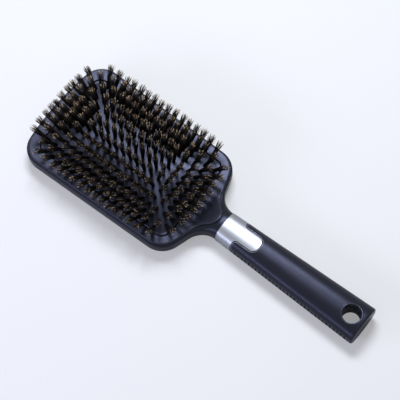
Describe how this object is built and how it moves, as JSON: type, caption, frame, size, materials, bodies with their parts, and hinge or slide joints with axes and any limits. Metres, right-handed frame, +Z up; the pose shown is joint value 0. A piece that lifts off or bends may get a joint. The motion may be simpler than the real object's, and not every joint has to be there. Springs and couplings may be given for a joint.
{
  "type": "paddle hair brush",
  "caption": "Large paddle hair brush with an air-cushioned bristle pad that gives under pressure, a metal collar and a ribbed soft-grip handle with a hanging hole.",
  "frame": {"origin": "under the middle of the brush as it lies on its back: halfway along its length and width, at the height of its lowest point", "axes": "+X from the head to the end of the handle, +Z up out of the bristle side, +Y across the brush"},
  "size_m": [0.254, 0.084, 0.0359],
  "materials": {
    "gloss_black": "smooth black plastic with a soft sheen",
    "satin_black": "satin black plastic with a fine grain",
    "black_rubber": "matt natural rubber, black",
    "bristle": "black-brown bristle with lighter, golden-brown tips",
    "satin_silver": "satin silver with broad highlights",
    "core_plastic": "hidden structural plastic",
    "soft_grip": "soft-touch black with a faint grain",
    "soft_ribs": "soft-touch black, ribbed",
    "eyelet_lining": "smooth dark lining of the hanging hole",
    "steel_pin": "plain steel"
  },
  "bodies": {
    "brush_base": {"back_shell": "gloss_black", "front_frame": "satin_black", "cushion": "black_rubber", "collar": "satin_silver", "handle_core": "core_plastic", "grip_sleeve": "soft_grip", "rib_strip_left": "soft_ribs", "rib_strip_right": "soft_ribs", "hang_eyelet": "eyelet_lining", "tang_pin": "steel_pin"},
    "pad_zone_1": {"tufts_1_left": "bristle", "tufts_1_right": "bristle", "tufts_1_far": "bristle", "tufts_1_near": "bristle"},
    "pad_zone_2": {"tufts_2_left": "bristle", "tufts_2_right": "bristle", "tufts_2_far": "bristle", "tufts_2_near": "bristle"},
    "pad_zone_3": {"tufts_3_left": "bristle", "tufts_3_right": "bristle", "tufts_3_far": "bristle", "tufts_3_near": "bristle"},
    "pad_zone_4": {"tufts_4_left": "bristle", "tufts_4_right": "bristle", "tufts_4_far": "bristle", "tufts_4_near": "bristle"},
    "pad_zone_5": {"tufts_5_left": "bristle", "tufts_5_right": "bristle", "tufts_5_far": "bristle", "tufts_5_near": "bristle"},
    "pad_zone_6": {"tufts_6_left": "bristle", "tufts_6_right": "bristle"}
  },
  "joints": [
    {"name": "pad_zone_6_press", "type": "slide", "parent": "brush_base", "child": "pad_zone_6", "axis": [0, 0, -1], "range_m": [0, 0.0035], "stiffness_N_per_m": 1500, "deforming": ["cushion"]},
    {"name": "pad_zone_5_press", "type": "slide", "parent": "brush_base", "child": "pad_zone_5", "axis": [0, 0, -1], "range_m": [0, 0.00332], "stiffness_N_per_m": 260},
    {"name": "pad_zone_4_press", "type": "slide", "parent": "brush_base", "child": "pad_zone_4", "axis": [0, 0, -1], "range_m": [0, 0.00294], "stiffness_N_per_m": 240},
    {"name": "pad_zone_3_press", "type": "slide", "parent": "brush_base", "child": "pad_zone_3", "axis": [0, 0, -1], "range_m": [0, 0.00238], "stiffness_N_per_m": 220},
    {"name": "pad_zone_2_press", "type": "slide", "parent": "brush_base", "child": "pad_zone_2", "axis": [0, 0, -1], "range_m": [0, 0.00163], "stiffness_N_per_m": 200},
    {"name": "pad_zone_1_press", "type": "slide", "parent": "brush_base", "child": "pad_zone_1", "axis": [0, 0, -1], "range_m": [0, 0.00069], "stiffness_N_per_m": 180}
  ],
  "couplings": [
    {"joint": "pad_zone_5_press", "follows": "pad_zone_6_press", "ratio": 0.9465},
    {"joint": "pad_zone_4_press", "follows": "pad_zone_6_press", "ratio": 0.8394},
    {"joint": "pad_zone_3_press", "follows": "pad_zone_6_press", "ratio": 0.6787},
    {"joint": "pad_zone_2_press", "follows": "pad_zone_6_press", "ratio": 0.4646},
    {"joint": "pad_zone_1_press", "follows": "pad_zone_6_press", "ratio": 0.1968}
  ]
}
